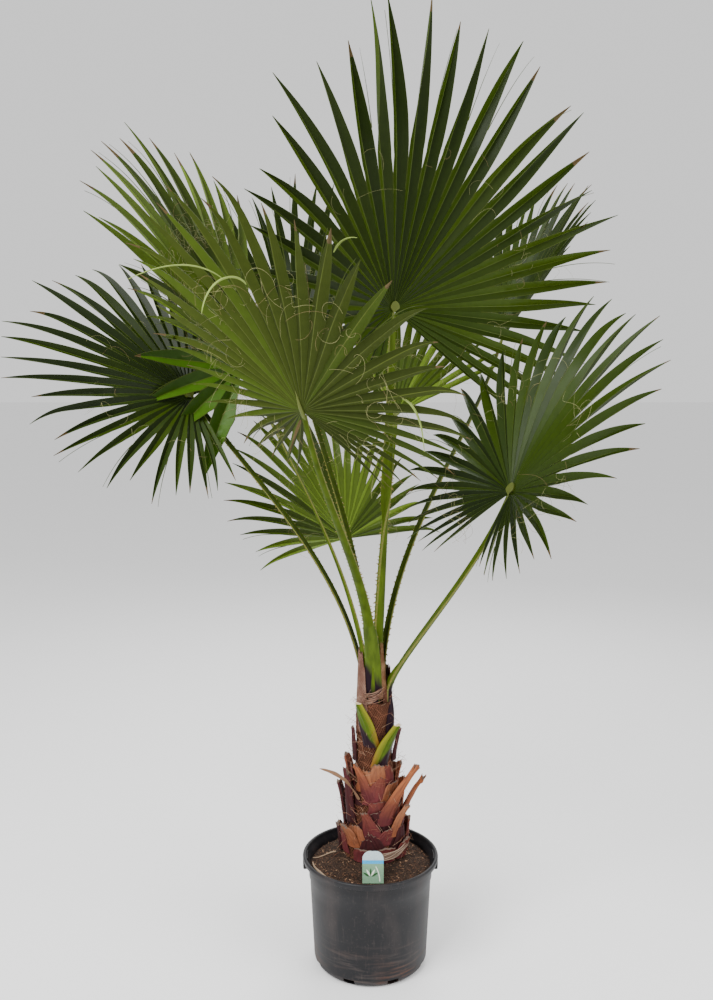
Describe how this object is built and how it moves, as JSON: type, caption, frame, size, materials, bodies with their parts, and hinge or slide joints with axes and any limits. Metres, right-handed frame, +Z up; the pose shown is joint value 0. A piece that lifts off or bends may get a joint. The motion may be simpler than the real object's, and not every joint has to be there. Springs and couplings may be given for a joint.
{
  "type": "potted fan palm",
  "caption": "Young mexican fan palm in a dark nursery pot: short trunk wrapped in old leaf bases, long slim stalks that spread out, and large pleated fan leaves.",
  "frame": {"origin": "centre of the pot's flat underside", "axes": "+Z up the trunk, -Y towards the front of the plant as pictured, +X to its right"},
  "size_m": [1.5982, 1.8121, 2.4554],
  "materials": {
    "pot": "dark grey, lightly scuffed",
    "soil": "damp potting soil with bark",
    "trunk": "woven brown fibre",
    "old_base": "dry red-brown leaf bases",
    "green_stub": "cut leaf stalks, still green",
    "dry_strip": "dry grey-brown sheath",
    "petiole": "green stalks with pale toothed edges",
    "leaf": "pleated green leaflets, a little glossy",
    "label": "pale card with a blue band"
  },
  "bodies": {
    "root": {"blade_a": "leaf", "blade_b": "leaf", "blade_c": "leaf", "blade_d": "leaf", "blade_e": "leaf", "blade_f": "leaf", "blade_g": "leaf", "blade_h": "leaf", "blade_i": "leaf", "boot_01": "old_base", "boot_02": "old_base", "boot_03": "old_base", "boot_04": "old_base", "boot_05": "old_base", "boot_06": "old_base", "boot_07": "old_base", "boot_08": "old_base", "boot_09": "old_base", "boot_10": "old_base", "boot_11": "old_base", "boot_12": "old_base", "boot_13": "old_base", "boot_14": "old_base", "boot_15": "old_base", "boot_16": "old_base", "boot_17": "old_base", "boot_18": "old_base", "boot_19": "old_base", "boot_20": "old_base", "boot_21": "old_base", "boot_22": "old_base", "brown_stub_left": "old_base", "brown_stub_right": "old_base", "dry_strip": "dry_strip", "green_stub_left": "green_stub", "green_stub_right": "green_stub", "label": "label", "petiole_a": "petiole", "petiole_b": "petiole", "petiole_c": "petiole", "petiole_d": "petiole", "petiole_e": "petiole", "petiole_f": "petiole", "petiole_g": "petiole", "petiole_h": "petiole", "petiole_i": "petiole", "pot": "pot", "soil": "soil", "trunk": "trunk"}
  },
  "joints": []
}
